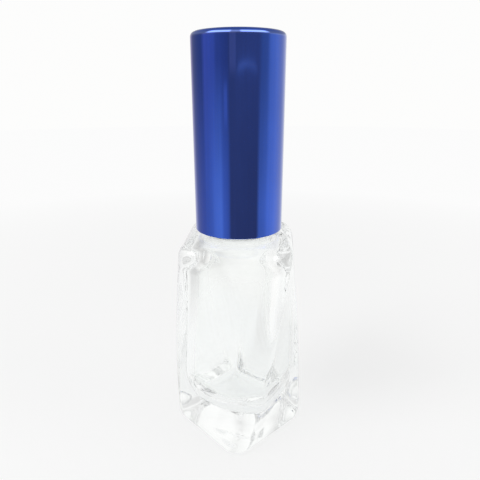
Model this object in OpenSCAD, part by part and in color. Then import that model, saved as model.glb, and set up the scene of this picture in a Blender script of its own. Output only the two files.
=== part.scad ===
// Roll-on bottle: a square glass body that turns on its way up, a roller ball in a
// pressed-in housing, and a screw cap made of a drawn metal shell, an inner cap and a
// sealing insert.
// Millimetres, +Z up, origin on the table under the middle of the base.
// A corner of the base points to -Y, and a flat side of the shoulder faces -Y.

/* [Glass body] */
// Width of the body across its flat sides
body_w = 21.8; // [20:0.1:26]
// Height of the body from the table to the foot of the neck
body_h = 44; // [36:0.5:60]
// Turn of the square section from the base to the shoulder, in degrees
body_turn = 45; // [0:5:70]
// Radius of the body's upright corners
corner_r = 4.2; // [1.2:0.1:5]
// Height of the rounded heel
heel_h = 3; // [1:0.1:5]
// How far the heel draws the base in on each side
heel_in = 1.2; // [0.4:0.1:1.8]
// Height of the rounded shoulder
shoulder_h = 2.4; // [1:0.1:3.2]
// How far the shoulder draws the top in on each side
shoulder_in = 1.8; // [0.8:0.1:2.2]
// Rise of the top from the shoulder to the foot of the neck
crown_h = 0.6; // [0.2:0.1:1.2]

/* [Inside of the glass] */
// Thickness of the side walls
glass_wall = 2.4; // [1.6:0.1:3]
// Thickness of the glass under the contents
base_t = 6.2; // [3:0.1:12]
// Radius of the upright corners inside
cavity_corner_r = 4.2; // [1.5:0.1:5]
// Height of the bowl at the bottom of the inside
bowl_h = 8; // [2:0.1:10]
// How far the bowl draws the floor in on each side
bowl_in = 5; // [2:0.1:6]
// Height over which the inside draws in to the neck
cavity_shoulder_h = 4.6; // [3:0.1:6]
// Glass between the top of the inside and the foot of the neck
crown_t = 2.2; // [1.5:0.1:3]
// Width of the shallow dish under the base
dish_d = 9; // [6:0.5:14]
// Depth of that dish
dish_depth = 0.3; // [0.1:0.1:1]

/* [Neck] */
// Outer diameter of the neck without its thread
neck_d = 11.8; // [11.6:0.1:12.4]
// Height of the neck above the body
neck_h = 11.5; // [10:0.5:14]
// Bore of the neck
neck_bore = 8.4; // [8.2:0.1:8.8]
// Radius round the mouth's outer edge
mouth_r = 0.5; // [0.2:0.1:0.8]
// Slope where the neck grows out of the body
neck_root = 0.9; // [0.4:0.1:1.2]
// Height of the screw thread over the neck
thread_rise = 0.6; // [0.3:0.05:0.65]
// Width of the thread at its root
thread_w = 1.6; // [1:0.1:2]
// Width of the thread's crest
thread_crest_w = 0.6; // [0.3:0.1:0.9]
// Rise of the thread in one turn
thread_pitch = 3; // [2.5:0.1:4]
// Length of the thread in turns
thread_turns = 1.4; // [1:0.1:1.6]
// Height of the thread's start above the foot of the neck
thread_start = 3.2; // [2.5:0.1:4]

/* [Roller] */
// Diameter of the ball
ball_d = 8; // [7.6:0.1:8.2]
// Running clearance round the ball
ball_gap = 0.05; // [0.02:0.01:0.1]
// Height of the ball's centre above the housing's flange
ball_rise = 1; // [0.6:0.1:1.4]
// Diameter of the housing's flange on the mouth
flange_d = 11.4; // [11.2:0.1:11.6]
// Thickness of that flange
flange_t = 1; // [0.6:0.1:1.6]
// Outer diameter of the cup round the ball
cup_d = 9.8; // [9.6:0.1:9.9]
// Height of the cup's lip above the ball's centre
lip_rise = 1.8; // [1.4:0.1:2.2]
// Height of the slope on the outside of the lip
lip_slope = 1.1; // [0.5:0.1:1.3]
// Depth of the plug in the neck
plug_depth = 7.5; // [6.5:0.5:9]
// Wall of the plug
plug_wall = 0.8; // [0.6:0.1:0.9]
// Height by which the plug's sealing beads stand out of it
bead_h = 0.15; // [0.05:0.05:0.3]
// Length of one sealing bead
bead_l = 0.8; // [0.4:0.1:1.2]
// Bore of the seat under the ball
seat_bore = 5.4; // [5:0.1:5.8]
// Thickness of the seat's rim
seat_t = 0.8; // [0.5:0.1:1.2]

/* [Cap] */
// Outer diameter of the cap
cap_d = 17; // [16.8:0.1:18]
// Height of the cap
cap_h = 35.5; // [30:0.5:45]
// Radius round the cap's top edge
cap_edge_r = 0.8; // [0.5:0.1:1.6]
// Wall of the metal shell
shell_t = 0.45; // [0.3:0.05:0.5]
// Gap between the body's top and the cap's rim
cap_gap = 0.7; // [0.3:0.1:1.5]
// How far the inner cap sits up inside the shell's rim
liner_inset = 0.4; // [0.2:0.1:1]
// Wall of the inner cap between its bands
liner_t = 0.95; // [0.7:0.05:1.05]
// Height by which the inner cap's bands stand out to the shell
band_out = 0.25; // [0.1:0.05:0.35]
// Height of one band
band_h = 2; // [1:0.1:3]
// Step in the inner cap's bore that the sealing insert is pressed against
seat_step = 0.3; // [0.2:0.05:0.5]
// Thickness of the sealing insert's disc over the ball
disc_t = 1.2; // [0.8:0.1:2]
// Wall of the insert's sealing ring
seal_t = 0.5; // [0.3:0.05:0.6]
// Gap between the cup and the sealing ring
seal_gap = 0.2; // [0.15:0.05:0.2]
// Diameter of the boss that holds the ball down
boss_d = 3; // [2:0.1:5]
// Height of that boss
boss_h = 0.4; // [0.2:0.1:1]
// Gap between the boss and the ball
boss_gap = 0.1; // [0.05:0.05:0.3]
// Gap left round a piece that is pressed into another
press_gap = 0.02; // [0.01:0.01:0.04]

/* [Hidden] */
$fn = 96;

// Overrun of a cut past the face that it opens
cut = 0.5;

// Places along Z
mouth_z = body_h + neck_h;
flange_top_z = mouth_z + flange_t;
ball_z = flange_top_z + ball_rise;
lip_z = ball_z + lip_rise;
ball_top_z = ball_z + ball_d / 2;
cap_z = body_h + cap_gap;
cap_top_z = cap_z + cap_h;
liner_z = cap_z + liner_inset;
liner_top_z = cap_top_z - shell_t;
disc_z = ball_top_z + boss_gap + boss_h;

// Radii that several pieces share
shell_bore_r = cap_d / 2 - shell_t;
shell_inner_edge_r = cap_edge_r - shell_t;
liner_bore_r = shell_bore_r - band_out - liner_t;
socket_r = ball_d / 2 + ball_gap;
plug_r = neck_bore / 2 - bead_h;

// Steps of the turned surfaces
arc_steps = 5;
flat_steps = 3;
wall_steps = 22;
bend_steps = 5;
bowl_steps = 8;
thread_steps = 24;
run_out_steps = 5;

// Depth to which the thread's root is sunk into the neck, as a share of its height
thread_sunk_share = 0.6;
// Height that the thread still has in the last section of its run-out, as a share
run_out_share = 0.1;

// Corner radius that is left where the heel and shoulder draw in, as a share
least_corner_share = 0.5;
// Roundness of the section at the foot of the neck, the throat and the floor, as a share
round_share = 0.96;

// Angle of the square section at a height: a corner points to -Y at the base
function section_angle(z) = 45 + body_turn * z / body_h;

// One section: a square with round corners, its flat sides in steps too
function section(half, r, z) = [
    for (side = [0 : 3], k = [0 : arc_steps + flat_steps - 1])
        let (
            core = half - r,
            on_arc = k <= arc_steps,
            arc_at = 90 * k / arc_steps,
            flat_at = (k - arc_steps) / flat_steps,
            p = on_arc
                ? [core + r * cos(arc_at), core + r * sin(arc_at)]
                : [core - 2 * core * flat_at, half],
            a = 90 * side + section_angle(z)
        )
        [p.x * cos(a) - p.y * sin(a), p.x * sin(a) + p.y * cos(a), z]
];

// Closed solid through a list of stations, each a height, a half width and a corner radius
module turned_loft(stations) {
    rings = [for (s = stations) section(s[1], s[2], s[0])];
    n = len(rings[0]);
    last = len(rings) - 1;
    floor_middle = (last + 1) * n;
    top_middle = floor_middle + 1;
    points = [
        for (ring = rings) each ring,
        [0, 0, stations[0][0]],
        [0, 0, stations[last][0]]
    ];
    sides = [
        for (j = [0 : last - 1], i = [0 : n - 1])
            let (a = j * n + i, b = j * n + (i + 1) % n)
            each [[a, b + n, b], [a, a + n, b + n]]
    ];
    ends = [
        for (i = [0 : n - 1])
            let (next = (i + 1) % n)
            each [[floor_middle, i, next], [top_middle, last * n + next, last * n + i]]
    ];
    polyhedron(points, concat(sides, ends));
}

// Corner radius where the section is drawn in by some amount
function drawn_corner(r, inset) = max(r - inset, r * least_corner_share);

// Outside of the body, from the table to the foot of the neck. It starts lower, so that
// one flat cut makes the base
body_stations = let (
        half = body_w / 2,
        wall_top = body_h - crown_h - shoulder_h,
        foot = neck_d / 2 + neck_root
    )
    [
        [-cut, half - heel_in, drawn_corner(corner_r, heel_in)],
        for (k = [0 : bend_steps])
            let (a = 90 * k / bend_steps, inset = heel_in * (1 - sin(a)))
            [heel_h * (1 - cos(a)), half - inset, drawn_corner(corner_r, inset)],
        for (k = [1 : wall_steps])
            [heel_h + (wall_top - heel_h) * k / wall_steps, half, corner_r],
        for (k = [1 : bend_steps])
            let (a = 90 * k / bend_steps, inset = shoulder_in * (1 - cos(a)))
            [wall_top + shoulder_h * sin(a), half - inset, drawn_corner(corner_r, inset)],
        [body_h, foot, foot * round_share]
    ];

// Space for the contents, from its floor to the throat under the neck
cavity_stations = let (
        half = body_w / 2 - glass_wall,
        top = body_h - crown_t,
        wall_top = top - cavity_shoulder_h,
        wall_foot = base_t + bowl_h,
        throat = neck_bore / 2 * round_share,
        draw = half - throat
    )
    [
        for (k = [0 : bowl_steps])
            let (
                a = 90 * k / bowl_steps,
                at = half - bowl_in * (1 - sin(a)),
                r = cavity_corner_r + (at * round_share - cavity_corner_r) * (1 - sin(a))
            )
            [base_t + bowl_h * (1 - cos(a)), at, min(r, at * round_share)],
        for (k = [1 : wall_steps])
            [wall_foot + (wall_top - wall_foot) * k / wall_steps, half, cavity_corner_r],
        for (k = [1 : bend_steps])
            let (
                a = 90 * k / bend_steps,
                at = half - draw * (1 - cos(a)),
                r = cavity_corner_r + (throat * round_share - cavity_corner_r) * sin(a)
            )
            [wall_top + cavity_shoulder_h * sin(a), at, min(r, at * round_share)]
    ];

// Screw thread round a post: a ridge with slanted flanks that runs out at both ends
module thread_ridge(post_r) {
    root_r = post_r - thread_rise * thread_sunk_share;
    last = round(thread_turns * thread_steps);
    rings = [
        for (k = [0 : last])
            let (
                run_out = min(1, min(k, last - k) / run_out_steps),
                out_share = run_out_share + (1 - run_out_share) * sin(90 * run_out),
                crest_r = root_r + (post_r + thread_rise - root_r) * out_share,
                a = 360 * k / thread_steps,
                z = thread_pitch * k / thread_steps,
                outline = [
                    [root_r, -thread_w / 2],
                    [crest_r, -thread_crest_w / 2],
                    [crest_r, thread_crest_w / 2],
                    [root_r, thread_w / 2]
                ]
            )
            [for (p = outline) [p.x * cos(a), p.x * sin(a), z + p.y]]
    ];
    n = len(rings[0]);
    sides = [
        for (j = [0 : last - 1], i = [0 : n - 1])
            let (a = j * n + i, b = j * n + (i + 1) % n)
            each [[a, b, b + n], [a, b + n, a + n]]
    ];
    ends = [[for (i = [n - 1 : -1 : 0]) i], [for (i = [0 : n - 1]) last * n + i]];
    polyhedron([for (ring = rings) each ring], concat(sides, ends));
}

// Upright post with a round top edge
module soft_post(r, h, edge) {
    rotate_extrude() {
        square([r - edge, h]);
        square([r, h - edge]);
        translate([r - edge, h - edge])
            intersection() {
                circle(edge);
                square(edge);
            }
    }
}

// Ring between two radii
module tube(outer_r, inner_r, h) {
    difference() {
        cylinder(r = outer_r, h = h);
        translate([0, 0, -cut])
            cylinder(r = inner_r, h = h + 2 * cut);
    }
}

// Clear glass: turned square body, neck with its screw thread, and bore in one
module glass_bottle() {
    neck_r = neck_d / 2;
    throat_z = body_h - crown_t;
    dish_r = (dish_d * dish_d / 4 + dish_depth * dish_depth) / (2 * dish_depth);
    color("azure", 0.35)
    difference() {
        union() {
            turned_loft(body_stations);
            translate([0, 0, throat_z])
                soft_post(neck_r, mouth_z - throat_z, mouth_r);
            translate([0, 0, body_h])
                cylinder(r1 = neck_r + neck_root * round_share, r2 = neck_r, h = neck_root);
            translate([0, 0, body_h + thread_start])
                thread_ridge(neck_r);
        }
        turned_loft(cavity_stations);
        translate([0, 0, throat_z - crown_h])
            cylinder(d = neck_bore, h = mouth_z - throat_z + crown_h + cut);
        translate([0, 0, dish_depth - dish_r])
            sphere(dish_r);
        translate([-body_w, -body_w, -2 * cut])
            cube([2 * body_w, 2 * body_w, 2 * cut]);
    }
}

// Plastic fitment: plug with sealing beads, flange on the mouth, cup round the ball
module roller_housing() {
    bead_zs = [for (k = [1, 2]) mouth_z - plug_depth * k / 3 - bead_l / 2];
    hollow_r = plug_r - plug_wall;
    seat_z = ball_z - sqrt(socket_r * socket_r - seat_bore * seat_bore / 4);
    hollow_h = seat_z - seat_t - (mouth_z - plug_depth);
    funnel_h = hollow_r - seat_bore / 2;
    color("whitesmoke")
    difference() {
        union() {
            translate([0, 0, mouth_z - plug_depth])
                cylinder(r = plug_r, h = plug_depth + flange_t);
            for (z = bead_zs)
                translate([0, 0, z])
                    cylinder(r = neck_bore / 2 - press_gap, h = bead_l);
            translate([0, 0, mouth_z])
                cylinder(d = flange_d, h = flange_t);
            translate([0, 0, flange_top_z])
                cylinder(d = cup_d, h = lip_z - lip_slope - flange_top_z);
            translate([0, 0, lip_z - lip_slope])
                cylinder(r1 = cup_d / 2, r2 = ball_d / 2, h = lip_slope);
        }
        translate([0, 0, ball_z])
            sphere(socket_r);
        translate([0, 0, mouth_z - plug_depth - cut])
            cylinder(d = seat_bore, h = plug_depth + flange_t);
        translate([0, 0, mouth_z - plug_depth - cut])
            cylinder(r = hollow_r, h = hollow_h - funnel_h + cut);
        translate([0, 0, mouth_z - plug_depth + hollow_h - funnel_h])
            cylinder(r1 = hollow_r, r2 = seat_bore / 2, h = funnel_h);
    }
}

// Steel ball
module roller_ball() {
    color("silver")
    translate([0, 0, ball_z])
        sphere(d = ball_d);
}

// Plastic inner cap: open sleeve with three bands that hold it in the shell
module inner_cap() {
    sleeve_r = shell_bore_r - band_out;
    band_r = shell_bore_r - press_gap;
    step_z = disc_z + disc_t;
    color("white")
    difference() {
        union() {
            translate([0, 0, liner_z])
                cylinder(r = sleeve_r, h = liner_top_z - liner_z - shell_inner_edge_r);
            for (z = [liner_z, step_z - band_h])
                translate([0, 0, z])
                    cylinder(r = band_r, h = band_h);
            translate([0, 0, liner_top_z - band_h])
                soft_post(band_r, band_h, shell_inner_edge_r);
        }
        translate([0, 0, liner_z - cut])
            cylinder(r = liner_bore_r, h = step_z - liner_z + cut);
        translate([0, 0, liner_z])
            cylinder(r = liner_bore_r - seat_step, h = liner_top_z - liner_z + cut);
    }
}

// Plastic sealing insert: disc against the inner cap's step, ring round the cup, boss
// over the ball
module sealing_insert() {
    seal_r = cup_d / 2 + seal_gap;
    color("gainsboro")
    union() {
        translate([0, 0, disc_z])
            cylinder(r = liner_bore_r - press_gap, h = disc_t);
        translate([0, 0, flange_top_z])
            tube(seal_r + seal_t, seal_r, disc_z - flange_top_z + disc_t);
        translate([0, 0, disc_z - boss_h])
            cylinder(d = boss_d, h = boss_h + disc_t);
    }
}

// Blue metal shell: drawn tube with a closed top and a round top edge
module cap_shell() {
    color("royalblue")
    translate([0, 0, cap_z])
        difference() {
            soft_post(cap_d / 2, cap_h, cap_edge_r);
            translate([0, 0, -cut])
                soft_post(shell_bore_r, cap_h - shell_t + cut, shell_inner_edge_r);
        }
}

glass_bottle();
roller_housing();
roller_ball();
inner_cap();
sealing_insert();
cap_shell();
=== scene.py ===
"""Roll-on bottle with a clear glass body of turned square section and a blue metal cap.

The CAD nodes give the frame and every place. The pieces here stand for those nodes with
smooth walls, soft edges, screw threads and finished materials, and the steel ball is the
CAD ball with a finish. The stage holds the floor, the world, the lamps and the camera.
"""

import math

import bpy
from bpy.props import FloatProperty, FloatVectorProperty, PointerProperty
from mathutils import Matrix, Vector


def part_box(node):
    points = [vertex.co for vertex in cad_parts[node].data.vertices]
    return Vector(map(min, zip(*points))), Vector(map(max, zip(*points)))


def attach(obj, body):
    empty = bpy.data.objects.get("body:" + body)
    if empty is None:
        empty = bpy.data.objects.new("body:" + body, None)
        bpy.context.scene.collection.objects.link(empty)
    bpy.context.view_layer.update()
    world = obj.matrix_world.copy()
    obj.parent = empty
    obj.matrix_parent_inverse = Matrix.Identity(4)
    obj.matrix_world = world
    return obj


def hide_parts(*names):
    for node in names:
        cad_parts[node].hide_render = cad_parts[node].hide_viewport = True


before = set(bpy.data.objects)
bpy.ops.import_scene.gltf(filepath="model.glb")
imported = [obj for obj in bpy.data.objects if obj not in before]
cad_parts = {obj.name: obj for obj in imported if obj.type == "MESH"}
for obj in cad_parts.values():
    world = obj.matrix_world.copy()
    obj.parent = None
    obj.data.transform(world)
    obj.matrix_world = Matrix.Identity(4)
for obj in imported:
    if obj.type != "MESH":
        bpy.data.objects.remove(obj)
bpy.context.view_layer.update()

bl_info = {
    "name": "Roll-on bottle",
    "version": (1, 0, 0),
    "blender": (4, 5, 0),
    "location": "View3D > Sidebar > Roll-on",
    "description": "Builds a roll-on bottle with a turned glass body and a blue metal cap",
    "category": "Object",
}

MM = 0.001
GLASS_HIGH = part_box("glass_bottle")[1]
HOUSING_LOW, HOUSING_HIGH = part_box("roller_housing")
BALL_LOW, BALL_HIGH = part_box("roller_ball")
LINER_LOW, LINER_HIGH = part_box("inner_cap")
INSERT_LOW, INSERT_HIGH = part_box("sealing_insert")
SHELL_LOW, SHELL_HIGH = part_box("cap_shell")


def length(name, default, description):
    """A size in metres that the sidebar shows in the scene's unit."""
    return FloatProperty(
        name=name, default=default, description=description, unit="LENGTH", precision=5
    )


def colour(name, default, description):
    """A colour that the sidebar shows as a swatch."""
    return FloatVectorProperty(
        name=name, default=default, description=description, subtype="COLOR", min=0, max=1
    )


class GlassBodySizes(bpy.types.PropertyGroup):
    """Sizes of the glass body and its neck."""

    width: length("Width", 21.76 * MM, "Width across the flat sides")
    height: length("Height", 44 * MM, "Height from the table to the foot of the neck")
    turn: FloatProperty(
        name="Turn", default=math.radians(45), subtype="ANGLE",
        description="Turn of the square section from the base to the shoulder",
    )
    corner: length("Corner radius", 4.2 * MM, "Radius of the upright corners")
    heel_height: length("Heel height", 3 * MM, "Height of the rounded heel")
    heel_inset: length("Heel inset", 1.2 * MM, "How far the heel draws the base in")
    shoulder_height: length("Shoulder height", 2.4 * MM, "Height of the rounded shoulder")
    shoulder_inset: length("Shoulder inset", 1.8 * MM, "How far the shoulder draws it in")
    crown_height: length("Crown height", 0.6 * MM, "Rise from the shoulder to the neck")
    wall: length("Wall", 2.4 * MM, "Thickness of the side walls")
    floor: length("Floor", 6.2 * MM, "Thickness of the glass under the contents")
    inner_corner: length("Inner corner", 4.2 * MM, "Radius of the upright corners inside")
    bowl_height: length("Bowl height", 8 * MM, "Height of the bowl at the bottom")
    bowl_inset: length("Bowl inset", 5 * MM, "How far the bowl draws the floor in")
    throat_height: length("Throat height", 4.6 * MM, "Height over which it draws in")
    crown_glass: length("Crown glass", 2.2 * MM, "Glass over the inside at the neck")
    dish_width: length("Dish width", 9 * MM, "Width of the shallow dish under the base")
    dish_depth: length("Dish depth", 0.3 * MM, "Depth of that dish")
    neck_radius: length("Neck radius", 5.9 * MM, "Outer radius of the neck alone")
    neck_root: length("Neck root", 0.9 * MM, "Slope where the neck grows out of the body")
    bore_radius: length("Bore radius", 4.2 * MM, "Radius of the neck's bore")
    mouth_edge: length("Mouth edge", 0.5 * MM, "Radius round the mouth's outer edge")
    mouth_height: length("Mouth height", GLASS_HIGH.z, "Height of the mouth over the table")
    thread_rise: length("Thread rise", 0.6 * MM, "Height of the thread over the neck")
    thread_width: length("Thread width", 1.6 * MM, "Width of the thread at its root")
    thread_pitch: length("Thread pitch", 3 * MM, "Rise of the thread in one turn")
    thread_start: length("Thread start", 47.2 * MM, "Height at which the thread starts")
    thread_turns: FloatProperty(
        name="Thread turns", default=1.4, description="Length of the thread in turns"
    )
    tint: colour("Tint", (0.99, 1.0, 0.995), "Colour of the clear glass")


class FitmentSizes(bpy.types.PropertyGroup):
    """Sizes of the plastic housing round the ball."""

    plug_bottom: length("Plug bottom", HOUSING_LOW.z, "Height of the plug's lower end")
    flange_bottom: length("Flange bottom", GLASS_HIGH.z, "Height of its lower face")
    flange_top: length("Flange top", 56.5 * MM, "Height of its upper face")
    flange_radius: length("Flange radius", HOUSING_HIGH.x, "Radius of the flange")
    cup_radius: length("Cup radius", 4.9 * MM, "Outer radius of the cup")
    lip_height: length("Lip height", HOUSING_HIGH.z, "Height of the lip over the table")
    lip_slope: length("Lip slope", 1.1 * MM, "Height of the slope outside the lip")
    plug_radius: length("Plug radius", 4.05 * MM, "Outer radius of the plug")
    plug_wall: length("Plug wall", 0.8 * MM, "Wall of the plug")
    bead_rise: length("Bead rise", 0.13 * MM, "Height of the sealing beads")
    socket_gap: length("Socket gap", 0.05 * MM, "Clearance round the ball")
    seat_radius: length("Seat radius", 2.7 * MM, "Radius of the bore under the ball")
    seat_thickness: length("Seat thickness", 0.8 * MM, "Thickness of the seat's rim")
    plastic: colour("Plastic", (0.79, 0.81, 0.8), "Colour of the natural plastic")


class BallLooks(bpy.types.PropertyGroup):
    """Finish of the steel ball."""

    steel: colour("Steel", (0.62, 0.62, 0.61), "Colour of the polished steel")


class InnerCapSizes(bpy.types.PropertyGroup):
    """Sizes of the plastic inner cap."""

    sleeve_radius: length("Sleeve radius", 7.8 * MM, "Outer radius between the bands")
    band_radius: length("Band radius", LINER_HIGH.x, "Outer radius of the bands")
    band_height: length("Band height", 2 * MM, "Height of one band")
    bore_radius: length("Bore radius", 6.85 * MM, "Radius of the bore round the neck")
    step: length("Step", 0.3 * MM, "Step that the sealing insert is pressed against")
    step_height: length("Step place", INSERT_HIGH.z, "Height of the step over the table")
    thread_rise: length("Thread rise", 0.24 * MM, "Height of the thread in the bore")
    thread_width: length("Thread width", 1 * MM, "Width of the thread at its root")
    thread_pitch: length("Thread pitch", 3 * MM, "Rise of the thread in one turn")
    thread_start: length("Thread start", 46.6 * MM, "Height at which the thread starts")
    thread_turns: FloatProperty(
        name="Thread turns", default=1.5, description="Length of the thread in turns"
    )
    plastic: colour("Plastic", (0.8, 0.805, 0.795), "Colour of the white plastic")


class InsertSizes(bpy.types.PropertyGroup):
    """Sizes of the soft sealing insert."""

    thickness: length("Thickness", 1.2 * MM, "Thickness of the disc")
    ring_inner: length("Ring inside", 5.1 * MM, "Inner radius of the ring round the cup")
    ring_outer: length("Ring outside", 5.6 * MM, "Outer radius of that ring")
    boss_radius: length("Boss radius", 1.5 * MM, "Radius of the boss over the ball")
    boss_rise: length("Boss rise", 0.4 * MM, "How far the boss stands under the disc")
    plastic: colour("Plastic", (0.80, 0.815, 0.81), "Colour of the soft plastic")


class ShellSizes(bpy.types.PropertyGroup):
    """Sizes of the drawn metal shell."""

    radius: length("Radius", SHELL_HIGH.x, "Outer radius of the shell")
    rim_height: length("Rim height", SHELL_LOW.z, "Height of the rim over the table")
    top_height: length("Top height", SHELL_HIGH.z, "Height of the top over the table")
    wall: length("Wall", 0.45 * MM, "Wall of the shell")
    top_edge: length("Top edge", 0.8 * MM, "Radius round the top edge")
    rim_edge: length("Rim edge", 0.1 * MM, "Radius of the rolled rim")
    blue: colour("Blue", (0.036, 0.11, 0.57), "Colour of the anodised metal")


class StageLooks(bpy.types.PropertyGroup):
    """Floor, lamps and camera."""

    floor_tint: colour("Floor", (0.93, 0.93, 0.925), "Colour of the floor")
    camera_distance: length("Camera distance", 86.7 * MM, "Distance in front of the bottle")
    camera_height: length("Camera height", 70.5 * MM, "Height over the table")
    camera_side: length("Camera side", 0.25 * MM, "Distance to the right of the bottle")
    camera_pitch: FloatProperty(
        name="Camera pitch", default=0.3194, subtype="ANGLE",
        description="How far it looks down",
    )
    camera_roll: FloatProperty(
        name="Camera roll", default=-0.0012, subtype="ANGLE",
        description="Roll about its line of sight",
    )
    camera_turn: FloatProperty(
        name="Camera turn", default=math.radians(2), subtype="ANGLE",
        description="Turn of the camera's place about the bottle's axis",
    )
    camera_lens: FloatProperty(
        name="Lens", default=33.86, unit="CAMERA",
        description="Focal length on a 36 mm sensor",
    )


PROPERTY_GROUPS = (
    ("roll_on_glass", GlassBodySizes),
    ("roll_on_fitment", FitmentSizes),
    ("roll_on_ball", BallLooks),
    ("roll_on_inner_cap", InnerCapSizes),
    ("roll_on_insert", InsertSizes),
    ("roll_on_shell", ShellSizes),
    ("roll_on_stage", StageLooks),
)

# Turn of the square section at the table, which puts a corner in front
CORNER_AHEAD = math.radians(45)
# Share of a flat side's length past which an edge is taken for it
MOST = 0.9
# Steps of the glass walls
CORNER_STEPS = 14
FLAT_STEPS = 14
WALL_STEPS = 60
BEND_STEPS = 10
CROWN_STEPS = 4
ROOT_STEPS = 4
NECK_STEPS = 8
THROAT_STEPS = 12
BOWL_STEPS = 14
FLOOR_RINGS = 2
BASE_RINGS = 5
DISH_STEPS = 5
# How late the throat and the bowl grow round: 1 is evenly, more is later
ROUND_LATE = 1.3
# How far the cutter for the inside stands out of the mouth
PAST_MOUTH = 1 * MM
# Steps of the turned parts
LATHE_STEPS = 160
EDGE_SEGMENTS = 6
SOCKET_STEPS = 24
# Threads: steps, round crest, how deep the ends lie in the wall, the share of a step within
# which a point belongs to it, and how deep the roots lie
THREAD_STEPS_A_TURN = 64
THREAD_RUN_OUT = 10
CREST_SEGMENTS = 4
CREST_OF_WIDTH = 0.42
CREST_OF_RISE = 0.9
SUNK_ENDS = 1.15
PART_OF_STEP = 0.3
NECK_THREAD_ROOT = 0.3 * MM
CAP_THREAD_ROOT = 0.2 * MM
# Small edges: the plug's chamfer, half a bead at its foot and crest, and round edges
CHAMFER_IN, CHAMFER_UP = 0.25 * MM, 0.5 * MM
BEAD_FOOT, BEAD_CREST = 0.4 * MM, 0.15 * MM
FLANGE_EDGE, CUP_EDGE = 0.2 * MM, 0.15 * MM
BAND_EDGE = 0.12 * MM
DISC_EDGE, RING_EDGE = 0.15 * MM, 0.2 * MM
# Rings that hold the shell's walls straight, from its round top edge and from its rim
TOP_SUPPORT, RIM_SUPPORT = 0.2 * MM, 0.4 * MM
# Angle past which an edge stays crisp
CRISP = math.radians(35)
# Distance under which two points are one, and under which a point is the one looked for
SAME = 2e-7
NEAR = 2e-6
# The floor: its size, its sides, and how far it lies under the glass
FLOOR_RADIUS, FLOOR_SIDES, FLOOR_DROP = 0.9, 96, 0.02 * MM
# The lamps: name, place and power, their width, and what they aim at
LAMPS = (
    ("soft_left", (-0.2, -0.12, 0.34), 0.62),
    ("soft_right", (0.26, -0.05, 0.2), 0.25),
)
LAMP_WIDTH = 0.2
LAMP_AIM = Vector((0, 0, 0.04))
# What the world shows the camera, lit surfaces and the light through the glass
BACKDROP = (0.98, 0.98, 0.975)
DIM = (0.56, 0.56, 0.56)
CLEAR = (1.02, 1.02, 1.015)
# Stripes in mirrors: middle, narrowness, where they fade, and strength
STRIP = (0.468, 50, (0.7, 1.4), 0.75)
STREAK = (0.42, 75, (0.2, 1.3), 0.55)
BAR = (0.487, 30, (0.6, 1.4), 0.75)
# An arch in mirrors: middle, foot, narrowness across and upwards, and slopes of its ring
ARCH_MIDDLE, ARCH_FOOT, ARCH_ACROSS, ARCH_UP = 0.565, 0.034, 13.2, 40
ARCH_RING = ((0.05, 0.6), (0.85, 1.1))
ARCH_LIGHT = (1.0, 0.95, 0.9)
STRIP_LIGHT = (0.75, 0.52, 0.45)
STREAK_LIGHT = (0.8, 0.75, 0.85)
CEILING = (0.5, 0.5, 0.5)
PANES = (3.0, 3.0, 3.0)
BEHIND = (0.0, 0.0, 0.02)
# Shades of the room in mirrors, from straight behind the bottle round its left side, its
# front in the middle, and back
ROOM_ABOVE = (
    (0.0, (0.98, 0.98, 0.98)), (0.1, (0.5, 0.42, 0.5)), (0.12, (0.3, 0.3, 0.34)),
    (0.235, (0.3, 0.29, 0.33)), (0.262, (0.6, 0.5, 0.62)), (0.335, (0.56, 0.49, 0.6)),
    (0.36, (0.42, 0.38, 0.44)), (0.43, (0.36, 0.32, 0.36)), (0.45, (0.38, 0.3, 0.28)),
    (0.495, (0.42, 0.33, 0.31)), (0.645, (0.4, 0.32, 0.31)),
    (0.665, (0.44, 0.44, 0.44)), (0.71, (0.52, 0.52, 0.52)), (0.735, (0.85, 0.85, 0.85)),
    (0.8, (0.95, 0.95, 0.95)), (0.86, (0.8, 0.8, 0.8)), (1.0, (0.98, 0.98, 0.98)),
)
ROOM_BELOW = (
    (0.0, (0.98, 0.98, 0.98)), (0.1, (0.75, 0.72, 0.75)), (0.14, (0.5, 0.48, 0.52)),
    (0.22, (0.55, 0.5, 0.58)), (0.3, (0.75, 0.75, 0.8)), (0.33, (1.0, 1.0, 1.0)),
    (0.38, (1.15, 1.15, 1.1)), (0.4, (0.75, 0.75, 0.8)), (0.435, (0.6, 0.58, 0.62)),
    (0.45, (0.4, 0.29, 0.25)), (0.635, (0.34, 0.25, 0.22)), (0.655, (0.7, 0.7, 0.7)),
    (0.7, (0.8, 0.8, 0.8)), (0.725, (1.0, 1.0, 1.0)), (0.8, (1.1, 1.1, 1.1)),
    (0.87, (0.9, 0.9, 0.9)), (1.0, (0.98, 0.98, 0.98)),
)


# Mesh helpers


def deselect():
    """Leaves edit mode with nothing selected."""
    if bpy.context.mode != "OBJECT":
        bpy.ops.object.mode_set(mode="OBJECT")
    bpy.ops.object.select_all(action="DESELECT")


def make_active(piece):
    """Selects one piece alone."""
    deselect()
    piece.select_set(True)
    bpy.context.view_layer.objects.active = piece


def open_for(mode):
    """Enters edit mode on the active piece, with nothing selected in it."""
    bpy.ops.object.mode_set(mode="EDIT")
    bpy.ops.mesh.select_mode(type=mode)
    bpy.ops.mesh.select_all(action="DESELECT")


def edit(piece, mode):
    """Enters edit mode on one piece."""
    make_active(piece)
    open_for(mode)


def pick(piece, mode, wanted):
    """Selects the parts of one kind for which wanted is true, and stays in edit mode."""
    open_for(mode)
    bpy.ops.object.mode_set(mode="OBJECT")
    mesh = piece.data
    items = {"VERT": mesh.vertices, "EDGE": mesh.edges, "FACE": mesh.polygons}[mode]
    found = 0
    for item in items:
        item.select = wanted(item)
        found += item.select
    bpy.ops.object.mode_set(mode="EDIT")
    if not found:
        raise RuntimeError(f"{piece.name}: no {mode} lies where it was looked for")


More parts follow.
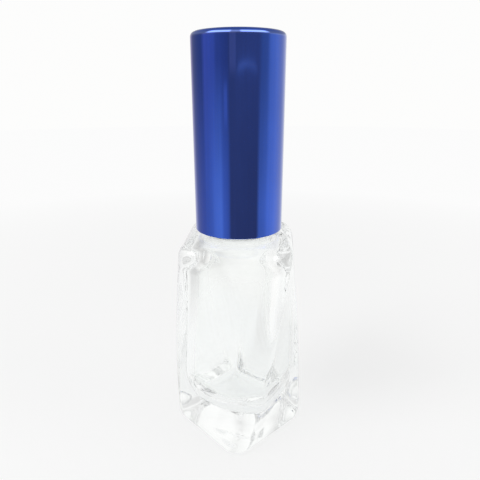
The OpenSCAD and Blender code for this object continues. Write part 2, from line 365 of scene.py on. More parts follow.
def ends_of(piece, edge):
    """The two ends of an edge."""
    return [piece.data.vertices[number].co for number in edge.vertices]


def selected_points(piece):
    """Places of the selected vertices, read out of edit mode."""
    bpy.ops.object.mode_set(mode="OBJECT")
    places = [v.co.copy() for v in piece.data.vertices if v.select]
    bpy.ops.object.mode_set(mode="EDIT")
    return places


def soften(piece):
    """Smooth shading, with the sharper edges kept crisp."""
    make_active(piece)
    bpy.ops.object.shade_smooth_by_angle(angle=CRISP)


def close_up(piece):
    """Merges doubles and turns every face outwards."""
    edit(piece, "FACE")
    bpy.ops.mesh.select_all(action="SELECT")
    bpy.ops.mesh.remove_doubles(threshold=SAME)
    bpy.ops.mesh.normals_make_consistent(inside=False)
    deselect()


def combine(piece, other, operation):
    """Adds another closed solid to this one or cuts it out of it, and removes the other."""
    make_active(piece)
    bpy.ops.object.modifier_add(type="BOOLEAN")
    boolean = piece.modifiers[-1]
    boolean.operation = operation
    boolean.solver = "EXACT"
    boolean.object = other
    bpy.ops.object.modifier_apply(modifier=boolean.name)
    make_active(other)
    bpy.ops.object.delete()
    make_active(piece)


def give_finish(piece, material):
    """Gives a piece one material in place of any other."""
    piece.data.materials.clear()
    piece.data.materials.append(material)


def finish_piece(piece, body, node, material):
    """Gives a piece its smooth shading, its finish and its place in the part."""
    soften(piece)
    give_finish(piece, material)
    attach(piece, body)
    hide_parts(node)


def spaced(first, last, steps):
    """Evenly spaced values from one step past the first up to the last."""
    return [first + (last - first) * k / steps for k in range(1, steps + 1)]


def quarter(steps):
    """The angles of a quarter turn, in steps."""
    return spaced(0, math.radians(90), steps)


# Turned square walls


def section_plate(name, half, corner, z, angle):
    """A flat face at a height: a square with round corners, its flat sides in steps too."""
    deselect()
    bpy.ops.mesh.primitive_plane_add(size=2 * half, location=(0, 0, z))
    plate = bpy.context.object
    plate.name = plate.data.name = name
    bpy.ops.object.transform_apply()
    edit(plate, "VERT")
    bpy.ops.mesh.select_all(action="SELECT")
    bpy.ops.mesh.bevel(offset=corner, segments=CORNER_STEPS, affect="VERTICES")
    flat_side = 2 * (half - corner)
    pick(plate, "EDGE", lambda e: math.dist(*ends_of(plate, e)) > MOST * flat_side)
    bpy.ops.mesh.subdivide(number_cuts=FLAT_STEPS - 1)
    bpy.ops.mesh.select_mode(type="FACE")
    bpy.ops.mesh.select_all(action="SELECT")
    turn_by(angle, z)
    return plate


def turn_by(angle, z):
    """Turns the selection counter-clockwise. The operator itself turns the other way."""
    bpy.ops.transform.rotate(value=-angle, orient_axis="Z", center_override=(0, 0, z))


def grow(dz):
    """Extrudes the selected end face along Z."""
    bpy.ops.mesh.extrude_region_move(TRANSFORM_OT_translate={"value": (0, 0, dz)})


def mean_radius(piece):
    """Mean distance from the axis of the selected vertices."""
    places = selected_points(piece)
    return sum(math.hypot(p.x, p.y) for p in places) / len(places)


class TurnedWall:
    """A closed wall that grows ring by ring from a square section and turns on its way.

    The end that grows is the selected face. With a negative height it grows down.
    """

    def __init__(self, name, sizes, half, corner, z):
        self.sizes = sizes
        self.z = self.foot = z
        self.piece = section_plate(name, half, corner, z, self.angle(z))

    def angle(self, z):
        """Turn of the square section at a height."""
        return CORNER_AHEAD + self.sizes.turn * z / self.sizes.height

    def turned_ring(self, z, inset=None):
        """Adds a turned ring at a height, drawn in evenly by an inset if there is one."""
        if inset is None:
            grow(z - self.z)
        else:
            bpy.ops.mesh.inset(thickness=inset, depth=abs(z - self.z), use_even_offset=True)
        turn_by(self.angle(z) - self.angle(self.z), z)
        self.z = z

    def ring(self, z, radius, roundness=0):
        """Adds a ring at a height that isn't turned any further."""
        grow(z - self.z)
        self.z = z
        self.round_off(radius, roundness)

    def round_off(self, radius, roundness):
        """Brings the end to a mean radius, nearer to a circle by a share."""
        if roundness > 0:
            bpy.ops.transform.tosphere(value=roundness)
        scale = radius / mean_radius(self.piece)
        bpy.ops.transform.resize(value=(scale, scale, 1), center_override=(0, 0, self.z))

    def straight(self, top):
        """Straight sides up to a height."""
        for z in spaced(self.z, top, WALL_STEPS):
            self.turned_ring(z)

    def bend(self, height, inset):
        """Draws the wall in by an inset, along a quarter ellipse."""
        start, drawn = self.z, 0
        for a in quarter(BEND_STEPS):
            drawn_before, drawn = drawn, inset * (1 - math.cos(a))
            self.turned_ring(start + height * math.sin(a), drawn - drawn_before)

    def funnel(self, height, radius, steps):
        """Brings the wall to a round end along a quarter ellipse."""
        foot, wide = self.z, mean_radius(self.piece)
        for k, a in enumerate(quarter(steps)):
            self.turned_ring(foot + height * math.sin(a))
            self.round_off(
                wide + (radius - wide) * (1 - math.cos(a)), 1 / (steps - k) ** ROUND_LATE
            )

    def slope(self, height, radius, steps):
        """Brings the wall to a round end along a straight slope."""
        heights = spaced(self.z, self.z + height, steps)
        radii = spaced(mean_radius(self.piece), radius, steps)
        for k, (z, r) in enumerate(zip(heights, radii)):
            self.ring(z, r, 1 / (steps - k))

    def back_to_foot(self):
        """Selects the face that the wall started from, so that it grows down from there."""
        bpy.ops.object.mode_set(mode="OBJECT")
        pick(
            self.piece, "FACE",
            lambda f: abs(f.center.z - self.foot) < SAME and len(f.vertices) > 4,
        )
        self.z = self.foot


def body_wall(sizes):
    """Outside of the glass, closed at the mouth and at the base."""
    wall = TurnedWall("glass_body", sizes, sizes.width / 2, sizes.corner, sizes.heel_height)
    wall.straight(sizes.height - sizes.crown_height - sizes.shoulder_height)
    wall.bend(sizes.shoulder_height, sizes.shoulder_inset)
    wall.slope(sizes.crown_height, sizes.neck_radius + sizes.neck_root, CROWN_STEPS)
    for radius, z in neck_outline(sizes):
        wall.ring(z, radius)
    wall.back_to_foot()
    wall.bend(-sizes.heel_height, sizes.heel_inset)
    rim = sizes.dish_width / 2
    wall.slope(0, rim, BASE_RINGS)
    curve = (rim ** 2 + sizes.dish_depth ** 2) / (2 * sizes.dish_depth)
    for radius in spaced(rim, 0, DISH_STEPS + 1)[:-1]:
        wall.ring(sizes.dish_depth - curve + math.sqrt(curve ** 2 - radius ** 2), radius)
    deselect()
    return wall.piece


def neck_outline(sizes):
    """Radius and height of each ring from the neck's root to the mouth."""
    neck, root, edge = sizes.neck_radius, sizes.neck_root, sizes.mouth_edge
    straight = sizes.mouth_height - edge
    rings = [
        (neck + root * (1 - math.sin(a)), sizes.height + root * (1 - math.cos(a)))
        for a in quarter(ROOT_STEPS)
    ]
    rings += [(neck, z) for z in spaced(rings[-1][1], straight, NECK_STEPS)]
    rings += [
        (neck - edge * (1 - math.cos(a)), straight + edge * math.sin(a))
        for a in quarter(EDGE_SEGMENTS)
    ]
    return rings


def inside_wall(sizes):
    """Inside of the glass, from the bowl to past the mouth."""
    half = sizes.width / 2 - sizes.wall
    top = sizes.height - sizes.crown_glass
    foot = sizes.floor + sizes.bowl_height
    wall = TurnedWall("glass_inside", sizes, half, sizes.inner_corner, foot)
    wall.straight(top - sizes.throat_height)
    wall.funnel(sizes.throat_height, sizes.bore_radius, THROAT_STEPS)
    for z in spaced(top, sizes.mouth_height + PAST_MOUTH, NECK_STEPS):
        wall.ring(z, sizes.bore_radius, 1)
    wall.back_to_foot()
    floor_radius = half - sizes.bowl_inset
    wall.funnel(-sizes.bowl_height, floor_radius, BOWL_STEPS)
    for radius in spaced(floor_radius, 0, FLOOR_RINGS + 1)[:-1]:
        wall.ring(wall.z, radius)
    deselect()
    return wall.piece


# Turned parts and threads


def lathe(name, outline, rounds):
    """A closed part turned from an outline of radius and height, drawn point by point.

    rounds lists each edge radius with the numbers of the corners that get it.
    """
    deselect()
    bpy.ops.mesh.primitive_plane_add(size=MM, location=(0, 0, 0))
    part = bpy.context.object
    part.name = part.data.name = name
    edit(part, "VERT")
    bpy.ops.mesh.select_all(action="SELECT")
    bpy.ops.mesh.merge(type="CENTER")
    bpy.ops.transform.translate(value=(outline[0][0], 0, outline[0][1]))
    for (r0, z0), (r1, z1) in zip(outline, outline[1:]):
        step = (r1 - r0, 0, z1 - z0)
        bpy.ops.mesh.extrude_region_move(TRANSFORM_OT_translate={"value": step})
    bpy.ops.mesh.select_all(action="SELECT")
    bpy.ops.mesh.edge_face_add()
    for radius, corners in rounds:
        places = [Vector((outline[c][0], 0, outline[c][1])) for c in corners]
        pick(part, "VERT", lambda v: any((v.co - p).length < NEAR for p in places))
        bpy.ops.mesh.bevel(offset=radius, segments=EDGE_SEGMENTS, affect="VERTICES")
    bpy.ops.mesh.select_all(action="SELECT")
    bpy.ops.mesh.delete(type="ONLY_FACE")
    if sum(r < SAME for r, z in outline) == 2:
        pick(part, "EDGE", lambda e: all(abs(p.x) < NEAR for p in ends_of(part, e)))
        bpy.ops.mesh.delete(type="EDGE")
    bpy.ops.mesh.select_all(action="SELECT")
    bpy.ops.mesh.spin(
        steps=LATHE_STEPS, angle=2 * math.pi, center=(0, 0, 0), axis=(0, 0, 1),
        use_auto_merge=True,
    )
    close_up(part)
    return part


def thread_ridge(name, root, crest, sizes):
    """A screw thread as one closed ridge that runs out at both ends."""
    width, pitch, turns = sizes.thread_width, sizes.thread_pitch, sizes.thread_turns
    rise = abs(crest - root)
    deselect()
    bpy.ops.mesh.primitive_plane_add(
        size=1, location=((root + crest) / 2, 0, sizes.thread_start),
        rotation=(math.radians(90), 0, 0),
    )
    ridge = bpy.context.object
    ridge.name = ridge.data.name = name
    ridge.scale = (rise, width, 1)
    bpy.ops.object.transform_apply()
    pick(ridge, "VERT", lambda v: abs(v.co.x - crest) < NEAR)
    bpy.ops.mesh.bevel(
        offset=min(width * CREST_OF_WIDTH, rise * CREST_OF_RISE),
        segments=CREST_SEGMENTS, affect="VERTICES",
    )
    bpy.ops.object.mode_set(mode="OBJECT")
    bpy.ops.object.modifier_add(type="SCREW")
    screw = ridge.modifiers[-1]
    screw.axis = "Z"
    screw.angle = 2 * math.pi * turns
    screw.screw_offset = pitch * turns
    steps = round(THREAD_STEPS_A_TURN * turns)
    screw.steps = screw.render_steps = steps
    bpy.ops.object.modifier_apply(modifier=screw.name)
    edit(ridge, "EDGE")
    bpy.ops.mesh.select_non_manifold()
    bpy.ops.mesh.edge_face_add()
    close_up(ridge)
    low = min(v.co.z for v in ridge.data.vertices)
    sunk = 1 + (root - crest) / crest * SUNK_ENDS

    def place_along(co):
        """Steps along the thread from its start, from the turn and the height."""
        around = math.atan2(co.y, co.x) / (2 * math.pi)
        risen = (co.z - low - width / 2) / pitch
        return (around + round(risen - around)) * steps / turns

    for k in range(THREAD_RUN_OUT):
        share = sunk + (1 - sunk) * math.sin(math.radians(90) * k / THREAD_RUN_OUT)
        for at in (k, steps - k):
            pick(ridge, "VERT", lambda v: abs(place_along(v.co) - at) < PART_OF_STEP)
            bpy.ops.transform.resize(value=(share, share, 1), center_override=(0, 0, 0))
    deselect()
    return ridge


# Materials


class Value:
    """A socket whose sums, products and powers add Math nodes to its material."""

    def __init__(self, graph, socket):
        self.graph = graph
        self.socket = socket

    def _math(self, operation, *terms):
        return self.graph.node(
            "ShaderNodeMath", {"operation": operation}, dict(enumerate(terms))
        )

    def __add__(self, other):
        return self._math("ADD", self, other)

    __radd__ = __add__

    def __sub__(self, other):
        return self._math("SUBTRACT", self, other)

    def __rsub__(self, other):
        return self._math("SUBTRACT", other, self)

    def __mul__(self, other):
        return self._math("MULTIPLY", self, other)

    __rmul__ = __mul__

    def __pow__(self, other):
        return self._math("POWER", self, other)

    def __rpow__(self, other):
        return self._math("POWER", other, self)

    def at_most(self, other):
        """The lower of two values."""
        return self._math("MINIMUM", self, other)

    def at_least(self, other):
        """The higher of two values."""
        return self._math("MAXIMUM", self, other)


class Graph:
    """The node tree of a material or world."""

    def __init__(self, owner):
        owner.use_nodes = True
        self.owner = owner
        self.tree = owner.node_tree
        self.tree.nodes.clear()

    def node(self, kind, settings=None, inputs=None, output=0):
        """Adds a node: its settings first, then values or links for its inputs."""
        made = self.tree.nodes.new(kind)
        for key, value in (settings or {}).items():
            if key == "stops":
                ramp = made.color_ramp
                while len(ramp.elements) < len(value):
                    ramp.elements.new(1)
                for element, (place, shade) in zip(ramp.elements, value):
                    element.position = place
                    element.color = (*shade, 1)
            else:
                setattr(made, key, value)
        for key, value in (inputs or {}).items():
            socket = made.inputs[key]
            if isinstance(value, Value):
                self.tree.links.new(value.socket, socket)
            elif socket.type == "RGBA":
                socket.default_value = (*value, 1)
            else:
                socket.default_value = value
        return Value(self, made.outputs[output]) if made.outputs else None

    def noise(self, coords, scale, detail=2.0, roughness=0.5, squash=(1, 1, 1)):
        """Noise on object coordinates, in features a metre, squashed along the axes."""
        placed = self.node("ShaderNodeMapping", None, {"Vector": coords, "Scale": squash})
        return self.node(
            "ShaderNodeTexNoise", None,
            {"Vector": placed, "Scale": scale, "Detail": detail, "Roughness": roughness},
        )

    def spread(self, value, low, high, to_low=0.0, to_high=1.0):
        """Maps a value from one range to another, held at its ends."""
        return self.node(
            "ShaderNodeMapRange", {"clamp": True},
            {
                "Value": value, "From Min": low, "From Max": high,
                "To Min": to_low, "To Max": to_high,
            },
        )

    def within(self, value, rise, fall):
        """1 between two slopes, each given by its two ends, and 0 outside them."""
        return self.spread(value, *rise) * self.spread(value, *fall, 1.0, 0.0)

    def blend(self, share, first, second):
        """Mixes two colours by a share."""
        colours = {"Factor": share, 6: first, 7: second}
        return self.node("ShaderNodeMix", {"data_type": "RGBA"}, colours, 2)

    def bump(self, height, distance, strength=1.0):
        """A normal from a height, in metres."""
        return self.node(
            "ShaderNodeBump", None,
            {"Height": height, "Distance": distance, "Strength": strength},
        )

    def principled(self, inputs):
        """The Principled shader."""
        return self.node("ShaderNodeBsdfPrincipled", None, inputs)

    def coordinates(self):
        """Object coordinates in metres."""
        return self.node("ShaderNodeTexCoord", None, None, "Object")

    def ray(self, kind):
        """1 for rays of one kind, such as Is Shadow Ray."""
        return self.node("ShaderNodeLightPath", None, None, kind)

    def output(self, surface):
        """Ends the tree, and returns its material or world."""
        kind = "World" if isinstance(self.owner, bpy.types.World) else "Material"
        self.node("ShaderNodeOutput" + kind, None, {"Surface": surface})
        return self.owner


def clear_glass(tint):
    """Clear fire-polished glass: faint waves from the mould, a light haze of handling."""
    g = Graph(bpy.data.materials.new("clear_glass"))
    at = g.coordinates()
    waves = g.noise(at, 95, 1.5, 0.4, (1, 1, 0.55))
    ripple = g.noise(at, 420, 2, 0.5, (1, 1, 0.3))
    haze = g.noise(at, 240, 4, 0.6)
    greener = (0.98, 0.992, 0.986)
    body = g.principled(
        {
            "Base Color": g.blend(g.spread(waves, 0.3, 0.7), tint, greener),
            "Roughness": g.spread(haze, 0.58, 0.8, 0.0, 0.02),
            "IOR": 1.52,
            "Transmission Weight": 1.0,
            "Normal": g.bump(waves + 0.04 * ripple, 0.18 * MM),
        }
    )
    # Light from the lamps and the floor passes straight through
    through = g.node("ShaderNodeBsdfTransparent", None, {"Color": (0.945, 0.95, 0.95)})
    lamps = g.ray("Is Shadow Ray").at_least(g.ray("Is Diffuse Ray"))
    return g.output(g.node("ShaderNodeMixShader", None, {0: lamps, 1: body, 2: through}))


def moulded_plastic(name, colour, roughness, milkiness):
    """Moulded plastic: slight flow marks, a fine matt grain and a soft translucency."""
    g = Graph(bpy.data.materials.new(name))
    at = g.coordinates()
    flow = g.noise(at, 160, 3, 0.5, (1, 1, 0.35))
    grain = g.noise(at, 5200)
    darker = [c * 0.95 for c in colour]
    matt = flow + 0.3 * grain
    return g.output(
        g.principled(
            {
                "Base Color": g.blend(g.spread(flow, 0.35, 0.65), colour, darker),
                "Roughness": g.spread(matt, 0.45, 0.85, roughness, roughness + 0.12),
                "IOR": 1.5,
                "Subsurface Weight": milkiness,
                "Subsurface Radius": (1.0, 1.0, 1.0),
                "Subsurface Scale": 1.2 * MM,
                "Normal": g.bump(grain, 0.012 * MM, 0.5),
            }
        )
    )


def polished_steel(colour):
    """Polished steel with a little lapping haze and a few fine scuffs."""
    g = Graph(bpy.data.materials.new("ball_steel"))
    at = g.coordinates()
    haze = g.noise(at, 700, 3, 0.55)
    scuffs = g.spread(g.noise(at, 2600, 1, 0.5, (1, 0.12, 1)), 0.68, 0.75)
    duller = (0.55, 0.55, 0.56)
    return g.output(
        g.principled(
            {
                "Base Color": g.blend(g.spread(haze, 0.4, 0.7), colour, duller),
                "Metallic": 1.0,
                "Roughness": g.spread(haze, 0.35, 0.7, 0.07, 0.13) + 0.12 * scuffs,
                "Normal": g.bump(scuffs, 0.006 * MM, 0.4),
            }
        )
    )


def blue_anodised(blue):
    """Blue anodised metal under clear lacquer: drawn grain, soft clouding, a worn rim and a
    painted highlight along the top edge.
    """
    g = Graph(bpy.data.materials.new("blue_anodised"))
    at = g.coordinates()
    grain = g.noise(at, 2400, 2, 0.5, (1, 1, 0.02))
    clouds = g.noise(at, 130, 3, 0.5, (1, 1, 0.5))
    deep = [c * 0.86 for c in blue]
    # Pale blue for the worn rim, and for a highlight painted on the top edge
    rubbed_and_highlight = (0.35, 0.42, 0.62)
    z = g.node("ShaderNodeSeparateXYZ", None, {"Vector": at}, "Z")
    low, top = SHELL_LOW.z, SHELL_HIGH.z
    rim = 1 - g.spread(z, low, low + 0.35 * MM)
    chips = g.spread(rim * g.noise(at, 1500, 3, 0.6), 0.42, 0.6)
    # A pale band painted round the top edge's rounding as its highlight, with a little wear
    # in it
    edge = g.within(z, (top - 1.0 * MM, top - 0.8 * MM), (top - 0.6 * MM, top - 0.4 * MM))
    wear_and_highlight = chips.at_least(0.55 * edge)
    shade = g.blend(g.spread(clouds + 0.35 * grain, 0.5, 0.85), deep, blue)
    return g.output(
        g.principled(
            {
                "Base Color": g.blend(wear_and_highlight * 0.5, shade, rubbed_and_highlight),
                "Metallic": 1.0,
                "Roughness": g.spread(clouds, 0.3, 0.7, 0.04, 0.07) + 0.03 * grain,
                "Normal": g.bump(grain + 0.6 * clouds, 0.006 * MM, 0.5),
                "Coat Weight": 0.45,
                "Coat Roughness": 0.05,
                "Coat IOR": 1.5,
            }
        )
    )


# Operators


class ROLLON_OT_glass_body(bpy.types.Operator):
    """Make the turned square glass body with its inside, neck and thread"""

    bl_idname = "rollon.glass_body"
    bl_label = "Glass body"

    def execute(self, context):
        sizes = context.scene.roll_on_glass
        neck = sizes.neck_radius
        body = body_wall(sizes)
        inside = inside_wall(sizes)
        ridge = thread_ridge(
            "neck_thread", neck - NECK_THREAD_ROOT, neck + sizes.thread_rise, sizes
        )
        close_up(body)
        close_up(inside)
        combine(body, ridge, "UNION")
        combine(body, inside, "DIFFERENCE")
        finish_piece(body, "bottle", "glass_bottle", clear_glass(sizes.tint))
        return {"FINISHED"}


class ROLLON_OT_fitment(bpy.types.Operator):
    """Make the plastic housing that is pressed into the neck and holds the ball"""

    bl_idname = "rollon.fitment"
    bl_label = "Roller fitment"

    def execute(self, context):
        sizes = context.scene.roll_on_fitment
        middle = (BALL_LOW.z + BALL_HIGH.z) / 2
        ball = (BALL_HIGH.z - BALL_LOW.z) / 2
        socket = ball + sizes.socket_gap
        plug, seat = sizes.plug_radius, sizes.seat_radius
        flange, cup = sizes.flange_radius, sizes.cup_radius
        hollow = plug - sizes.plug_wall
        seat_z = middle - math.sqrt(socket ** 2 - seat ** 2)
        under_seat = seat_z - sizes.seat_thickness
        lip = sizes.lip_height
        low, top = sizes.plug_bottom, sizes.flange_bottom
        crest = plug + sizes.bead_rise
        beads = [
            point
            for z in spaced(low, top, 3)[:-1]
            for point in (
                (plug, z - BEAD_FOOT), (crest, z - BEAD_CREST),
                (crest, z + BEAD_CREST), (plug, z + BEAD_FOOT),
            )
        ]
        from_lip = math.asin((lip - middle) / socket)
        to_seat = math.asin((seat_z - middle) / socket)
        socket_arc = [
            (socket * math.cos(a), middle + socket * math.sin(a))
            for a in spaced(from_lip, to_seat, SOCKET_STEPS)[:-1]
        ]
        outline = [
            (hollow, low), (plug - CHAMFER_IN, low), (plug, low + CHAMFER_UP), *beads,
            (plug, top), (flange, top), (flange, sizes.flange_top), (cup, sizes.flange_top),
            (cup, lip - sizes.lip_slope), (ball, lip),
            (math.sqrt(socket ** 2 - (lip - middle) ** 2), lip), *socket_arc,
            (seat, seat_z), (seat, under_seat), (hollow, under_seat - (hollow - seat)),
        ]
        corner = outline.index((flange, top))
        piece = lathe(
            "roller_fitment", outline,
            ((FLANGE_EDGE, (corner, corner + 1)), (CUP_EDGE, (corner + 3,))),
        )
        material = moulded_plastic("natural_plastic", sizes.plastic, 0.32, 0.35)
        finish_piece(piece, "bottle", "roller_housing", material)
        return {"FINISHED"}


class ROLLON_OT_ball(bpy.types.Operator):
    """Finish the steel ball of the CAD model"""

    bl_idname = "rollon.ball"
    bl_label = "Steel ball"

    def execute(self, context):
        steel = context.scene.roll_on_ball.steel
        give_finish(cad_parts["roller_ball"], polished_steel(steel))
        return {"FINISHED"}


class ROLLON_OT_inner_cap(bpy.types.Operator):
    """Make the inner cap with its bands and thread"""

    bl_idname = "rollon.inner_cap"
    bl_label = "Inner cap"

    def execute(self, context):
        sizes = context.scene.roll_on_inner_cap
        low, high = LINER_LOW.z, LINER_HIGH.z
        sleeve, band, tall = sizes.sleeve_radius, sizes.band_radius, sizes.band_height
        bore, step = sizes.bore_radius, sizes.step_height
        outline = [
            (bore, low), (band, low), (band, low + tall), (sleeve, low + tall),
            (sleeve, step - tall), (band, step - tall), (band, step), (sleeve, step),
            (sleeve, high - tall), (band, high - tall), (band, high),
            (bore - sizes.step, high), (bore - sizes.step, step), (bore, step),
        ]
        cap = lathe("inner_cap_sleeve", outline, ((BAND_EDGE, (0, 1, 2, 5, 6, 9)),))
        ridge = thread_ridge(
            "cap_thread", bore + CAP_THREAD_ROOT, bore - sizes.thread_rise, sizes
        )
        combine(cap, ridge, "UNION")
        material = moulded_plastic("white_plastic", sizes.plastic, 0.34, 0.15)
        finish_piece(cap, "cap", "inner_cap", material)
        return {"FINISHED"}


class ROLLON_OT_sealing_insert(bpy.types.Operator):
    """Make the soft sealing insert in the inner cap"""

    bl_idname = "rollon.sealing_insert"
    bl_label = "Sealing insert"

    def execute(self, context):
        sizes = context.scene.roll_on_insert
        bottom, top, edge = INSERT_LOW.z, INSERT_HIGH.z, INSERT_HIGH.x
        disc = top - sizes.thickness
        boss, boss_z = sizes.boss_radius, disc - sizes.boss_rise
        outline = [
            (0, boss_z), (boss, boss_z), (boss, disc),
            (sizes.ring_inner, disc), (sizes.ring_inner, bottom),
            (sizes.ring_outer, bottom), (sizes.ring_outer, disc),
            (edge, disc), (edge, top), (0, top),
        ]
        insert = lathe(
            "sealing_insert_piece", outline, ((DISC_EDGE, (1, 7, 8)), (RING_EDGE, (4, 5)))
        )
        material = moulded_plastic("seal_plastic", sizes.plastic, 0.4, 0.3)
        finish_piece(insert, "cap", "sealing_insert", material)
        return {"FINISHED"}


class ROLLON_OT_cap_shell(bpy.types.Operator):
    """Make the drawn blue metal shell of the cap"""

    bl_idname = "rollon.cap_shell"
    bl_label = "Cap shell"

    def execute(self, context):
        sizes = context.scene.roll_on_shell
        outer, low, top = sizes.radius, sizes.rim_height, sizes.top_height
        inner, under = outer - sizes.wall, top - sizes.wall
        support = sizes.top_edge + TOP_SUPPORT
        outline = [
            (0, under), (inner, under), (inner, low),
            (outer, low), (outer, low + RIM_SUPPORT), (outer, top - support), (outer, top),
            (outer - support, top), (0, top),
        ]
        edges = (
            (sizes.top_edge, (6,)), (sizes.top_edge - sizes.wall, (1,)),
            (sizes.rim_edge, (2, 3)),
        )
        shell = lathe("cap_shell_metal", outline, edges)
        finish_piece(shell, "cap", "cap_shell", blue_anodised(sizes.blue))
        return {"FINISHED"}


class ROLLON_OT_stage(bpy.types.Operator):
    """Make the floor, the world, the lamps and the camera"""

    bl_idname = "rollon.stage"
    bl_label = "Stage"

    def execute(self, context):
        looks = context.scene.roll_on_stage
        add_floor(looks)
        add_world()
        add_lamps()
        add_camera(looks)
        context.scene.view_settings.view_transform = "Standard"
        set_light_paths(context.scene.cycles)
        return {"FINISHED"}


def set_light_paths(cycles):
    """Enough turns of a light path for thick glass, which throws light back many times."""
    cycles.max_bounces = 32
    cycles.glossy_bounces = 24
    cycles.transmission_bounces = 32
    cycles.transparent_max_bounces = 16


def add_floor(looks):
    """A plain pale floor that fades into the white around it and keeps the shadow."""
    deselect()
    bpy.ops.mesh.primitive_circle_add(
        vertices=FLOOR_SIDES, radius=FLOOR_RADIUS, fill_type="NGON",
        location=(0, 0, -FLOOR_DROP),
    )
    floor = bpy.context.object
    floor.name = floor.data.name = "floor"
    bpy.ops.object.transform_apply()
    g = Graph(bpy.data.materials.new("pale_floor"))
    at = g.coordinates()
    far = g.node("ShaderNodeVectorMath", {"operation": "LENGTH"}, {0: at}, "Value")
    seen = g.ray("Is Camera Ray")
    through = g.ray("Is Transmission Ray")
    mirrored = g.ray("Is Glossy Ray")
    tint = looks.floor_tint
    mottle = g.spread(g.noise(at, 14, 3, 0.5), 0.3, 0.7)
    ground = g.blend(mottle, tint, [c * 0.985 for c in tint])
    ground = g.blend(through, ground, (1.0, 1.0, 1.0))
    lit = g.node("ShaderNodeBsdfDiffuse", None, {"Color": ground})
    white = g.blend(through, (0.97, 0.97, 0.97), (1.02, 1.02, 1.02))
    glow = g.node("ShaderNodeEmission", None, {"Color": white})
    # Near the bottle the floor is lit and takes its shadow, and further off it glows
    shown = seen * g.spread(far, 0.03, 0.25, 0.5, 1.0)
    shown = shown + through * g.spread(far, 0.05, 0.12, 0.2, 1.0)
    near = g.node("ShaderNodeMixShader", None, {0: shown, 1: lit, 2: glow})
    # Past its edge, light and mirrors see the world instead
    open_air = g.node("ShaderNodeBsdfTransparent", None, {"Color": (1, 1, 1)})
    edge = (1 - seen) * g.spread(far, 0.11, 0.2) + mirrored * g.spread(far, 0.05, 0.09)
    both = g.node("ShaderNodeMixShader", None, {0: edge, 1: near, 2: open_air})
    give_finish(floor, g.output(both))


def add_world():
    """White for the camera, pale through glass, and a room of soft shades in mirrors."""
    world = bpy.data.worlds.new("studio")
    world.cycles.sampling_method = "NONE"
    bpy.context.scene.world = world
    g = Graph(world)
    way = g.node("ShaderNodeTexCoord", None, None, "Generated")
    x, y, z = (
        g.node("ShaderNodeSeparateXYZ", None, {"Vector": way}, axis) for axis in "XYZ"
    )
    turn = g.node("ShaderNodeMath", {"operation": "ARCTAN2"}, {0: x, 1: 0 - y})
    around = turn * (0.5 / math.pi) + 0.5
    room = room_shades(g, around, z)
    grey = g.node("ShaderNodeRGBToBW", None, {"Color": room})
    # Straight behind the bottle it is dark, which deepens the edges of the cap
    behind = g.spread(around.at_most(1 - around), 0.022, 0.032, 0.62, 0.0)
    walls = g.blend(behind, room, BEHIND)
    mirrored = g.blend(g.spread(z, 0.16, 0.28), walls, ceiling_shades(g, around, y, z))
    # Through glass the room is half grey and half white, and white from above
    through = g.blend(0.5, g.blend(g.spread(z, 0.35, 0.75), grey, CLEAR), CLEAR)
    shade = g.blend(g.ray("Is Glossy Ray"), DIM, mirrored)
    shade = g.blend(g.ray("Is Transmission Ray"), shade, through)
    shade = g.blend(g.ray("Is Camera Ray"), shade, BACKDROP)
    g.output(g.node("ShaderNodeBackground", None, {"Color": shade, "Strength": 1.0}))


def stripe(g, around, middle, narrowness, fade, strength):
    """An upright stripe of light, strong at its middle and gone where it fades out."""
    return g.spread(((around - middle) * narrowness) ** 2, *fade, strength, 0.0)


def room_shades(g, around, z):
    """The room at the height of the cap, with an arch, a strip and a streak in front."""
    upper = g.node("ShaderNodeValToRGB", {"stops": ROOM_ABOVE}, {"Fac": around})
    lower = g.node("ShaderNodeValToRGB", {"stops": ROOM_BELOW}, {"Fac": around})
    room = g.blend(g.spread(z, -0.24, 0.06), lower, upper)
    up = (z - ARCH_FOOT).at_least(0.0) * ARCH_UP
    arch = g.within(((around - ARCH_MIDDLE) * ARCH_ACROSS) ** 2 + up ** 2, *ARCH_RING)
    arch = arch * g.spread(z, ARCH_FOOT, 0.05) * g.spread(around, 0.54, 0.63, 0.8, 0.45)
    room = g.blend(arch, room, ARCH_LIGHT)
    strip = stripe(g, around, *STRIP) * g.spread(z, 0.028, 0.05)
    room = g.blend(strip, room, STRIP_LIGHT)
    streak = stripe(g, around, *STREAK) * g.within(z, (-0.085, -0.05), (0.0, 0.025))
    return g.blend(streak, room, STREAK_LIGHT)


def ceiling_shades(g, around, y, z):
    """The grey ceiling and two bright panes in front of it, with a bar between them."""
    panes = g.within(z, (0.2, 0.3), (0.62, 0.78)) * g.spread(0 - y, 0.1, 0.3)
    return g.blend(panes * (1 - stripe(g, around, *BAR)), CEILING, PANES)


def add_lamps():
    """Two large soft lamps, one high on the left and one from the right."""
    for name, place, power in LAMPS:
        deselect()
        bpy.ops.object.light_add(type="AREA", location=place)
        lamp = bpy.context.object
        lamp.name = lamp.data.name = name
        lamp.data.shape = "DISK"
        lamp.data.size = LAMP_WIDTH
        lamp.data.energy = power
        aim = LAMP_AIM - Vector(place)
        lamp.rotation_euler = aim.to_track_quat("-Z", "Y").to_euler()
        lamp.visible_glossy = False
        lamp.visible_transmission = False


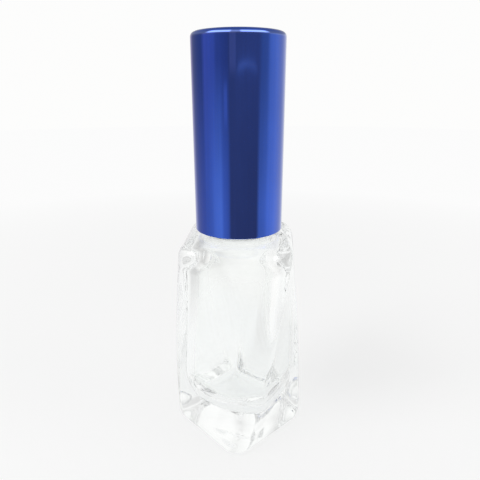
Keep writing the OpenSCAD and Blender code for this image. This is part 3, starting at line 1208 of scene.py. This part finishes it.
def add_camera(looks):
    """The camera at the photograph's viewing angle."""
    deselect()
    bpy.ops.object.camera_add()
    camera = bpy.context.object
    camera.name = camera.data.name = "camera"
    camera.data.sensor_width = 36
    camera.data.lens = looks.camera_lens
    camera.data.clip_start = MM
    ahead = Vector((0, math.cos(looks.camera_pitch), -math.sin(looks.camera_pitch)))
    place = Vector((looks.camera_side, -looks.camera_distance, looks.camera_height))
    camera.matrix_world = (
        Matrix.Rotation(looks.camera_turn, 4, "Z")
        @ Matrix.Translation(place)
        @ ahead.to_track_quat("-Z", "Y").to_matrix().to_4x4()
        @ Matrix.Rotation(looks.camera_roll, 4, "Z")
    )
    bpy.context.scene.camera = camera


OPERATORS = (
    ROLLON_OT_glass_body,
    ROLLON_OT_fitment,
    ROLLON_OT_ball,
    ROLLON_OT_inner_cap,
    ROLLON_OT_sealing_insert,
    ROLLON_OT_cap_shell,
    ROLLON_OT_stage,
)


class ROLLON_PT_panel(bpy.types.Panel):
    """Lists the pieces, their sizes and the stage"""

    bl_idname = "ROLLON_PT_panel"
    bl_label = "Roll-on bottle"
    bl_space_type = "VIEW_3D"
    bl_region_type = "UI"
    bl_category = "Roll-on"

    def draw(self, context):
        for operator in OPERATORS:
            self.layout.operator(operator.bl_idname)
        for attribute, group in PROPERTY_GROUPS:
            box = self.layout.box()
            settings = getattr(context.scene, attribute)
            for name in group.__annotations__:
                box.prop(settings, name)


def register():
    """Registers the settings, operators and panel."""
    for attribute, group in PROPERTY_GROUPS:
        bpy.utils.register_class(group)
        setattr(bpy.types.Scene, attribute, PointerProperty(type=group))
    for operator in OPERATORS:
        bpy.utils.register_class(operator)
    bpy.utils.register_class(ROLLON_PT_panel)


def unregister():
    """Removes them again."""
    bpy.utils.unregister_class(ROLLON_PT_panel)
    for operator in reversed(OPERATORS):
        bpy.utils.unregister_class(operator)
    for attribute, group in reversed(PROPERTY_GROUPS):
        delattr(bpy.types.Scene, attribute)
        bpy.utils.unregister_class(group)


def main():
    """Builds the whole bottle and its stage."""
    register()
    bpy.ops.rollon.glass_body()
    bpy.ops.rollon.fitment()
    bpy.ops.rollon.ball()
    bpy.ops.rollon.inner_cap()
    bpy.ops.rollon.sealing_insert()
    bpy.ops.rollon.cap_shell()
    bpy.ops.rollon.stage()


if __name__ == "__main__":
    main()
